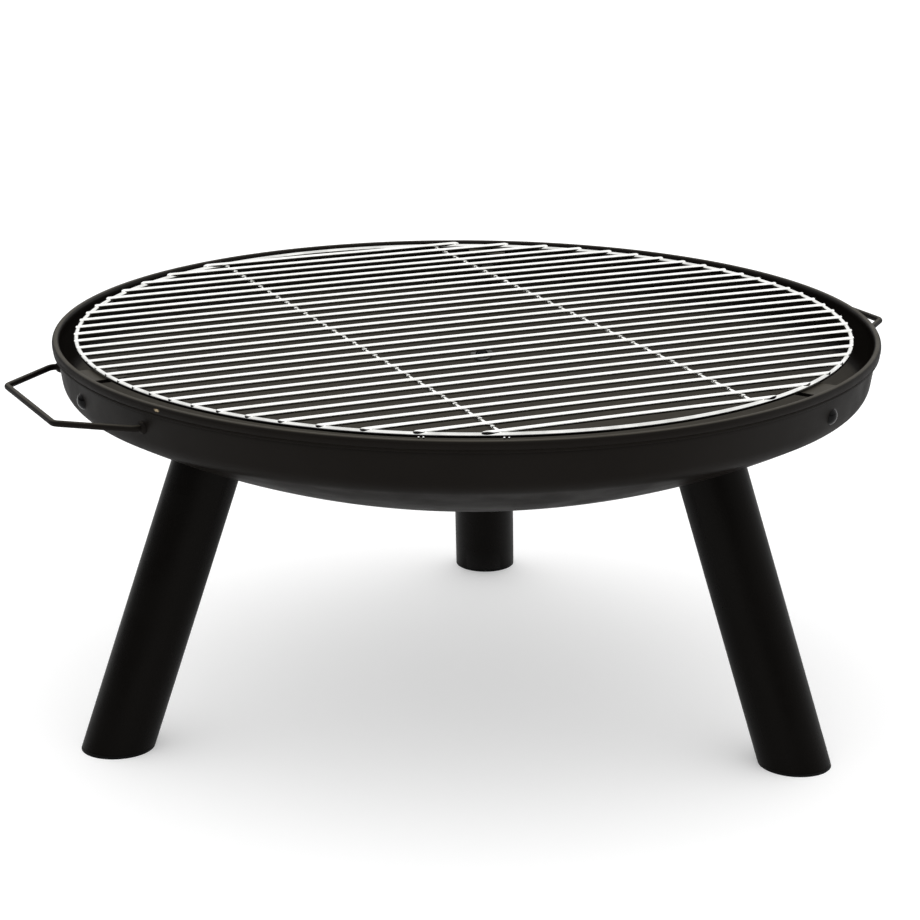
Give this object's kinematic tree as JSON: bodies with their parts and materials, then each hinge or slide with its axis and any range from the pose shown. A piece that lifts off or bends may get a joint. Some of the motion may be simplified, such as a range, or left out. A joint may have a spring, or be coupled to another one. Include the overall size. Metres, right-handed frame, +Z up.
{
  "type": "fire pit with grate",
  "caption": "Round steel fire bowl with rolled rim and two rod handles on splayed tube legs, with a chromed bar cooking grate that lifts off.",
  "frame": {"origin": "on the floor, centred below the bowl, at the bottom centre of the bounding box", "axes": "+X along the line through the two handles, +Z up; the rear leg is on the +X +Y side and the left leg is under the -X handle"},
  "size_m": [0.89, 0.8, 0.374],
  "materials": {
    "bowl_coat": "satin powder coat",
    "leg_coat": "satin powder coat",
    "black_bolt": "gloss black",
    "zinc_steel": "zinc plated",
    "plug_plastic": "matt",
    "grate_chrome": "bright chrome"
  },
  "bodies": {
    "fire_pit": {"bowl": "bowl_coat", "bracket_bolts": "black_bolt", "bracket_nuts": "zinc_steel", "bracket_washers": "zinc_steel", "foot_plug_left": "plug_plastic", "foot_plug_rear": "plug_plastic", "foot_plug_right": "plug_plastic", "grate_bracket_left": "bowl_coat", "grate_bracket_rear": "bowl_coat", "grate_bracket_right": "bowl_coat", "handle_left": "bowl_coat", "handle_right": "bowl_coat", "handle_welds": "bowl_coat", "leg_bolts": "black_bolt", "leg_cap_left": "leg_coat", "leg_cap_rear": "leg_coat", "leg_cap_right": "leg_coat", "leg_left": "leg_coat", "leg_nuts": "zinc_steel", "leg_rear": "leg_coat", "leg_right": "leg_coat", "leg_washers": "zinc_steel"},
    "grate": {"bar_01": "grate_chrome", "bar_02": "grate_chrome", "bar_03": "grate_chrome", "bar_04": "grate_chrome", "bar_05": "grate_chrome", "bar_06": "grate_chrome", "bar_07": "grate_chrome", "bar_08": "grate_chrome", "bar_09": "grate_chrome", "bar_10": "grate_chrome", "bar_11": "grate_chrome", "bar_12": "grate_chrome", "bar_13": "grate_chrome", "bar_14": "grate_chrome", "bar_15": "grate_chrome", "bar_16": "grate_chrome", "bar_17": "grate_chrome", "bar_18": "grate_chrome", "bar_19": "grate_chrome", "bar_20": "grate_chrome", "bar_21": "grate_chrome", "bar_22": "grate_chrome", "bar_23": "grate_chrome", "bar_24": "grate_chrome", "bar_25": "grate_chrome", "bar_26": "grate_chrome", "bar_27": "grate_chrome", "bar_28": "grate_chrome", "cross_wire_left": "grate_chrome", "cross_wire_right": "grate_chrome", "grate_ring": "grate_chrome"}
  },
  "joints": [
    {"name": "grate_lift", "type": "slide", "parent": "fire_pit", "child": "grate", "axis": [0, 0, 1], "range_m": [0, 0.3]}
  ]
}
